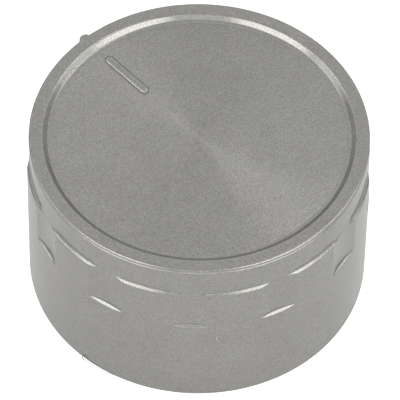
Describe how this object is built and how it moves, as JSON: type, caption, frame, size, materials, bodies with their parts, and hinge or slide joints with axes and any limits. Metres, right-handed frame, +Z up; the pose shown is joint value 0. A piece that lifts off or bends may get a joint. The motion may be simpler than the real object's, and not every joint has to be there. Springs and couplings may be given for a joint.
{
  "type": "dishwasher knob",
  "caption": "Round silver programme knob for a dishwasher: a hollow cap with a fluted grip, a sunken disc with a pointer bar, and a D-shaft hub held by a clamp ring.",
  "frame": {"origin": "centre of the base plane, on the shaft axis", "axes": "+Z up the shaft axis towards the disc, +Y the direction of the pointer"},
  "size_m": [0.045, 0.0455, 0.0267],
  "materials": {
    "silver_paint": "satin silver paint on ABS, with fine turned rings on the disc",
    "spring_steel": "plain spring steel"
  },
  "bodies": {
    "root": {"knob_body": "silver_paint", "clamp_ring": "spring_steel"}
  },
  "joints": []
}
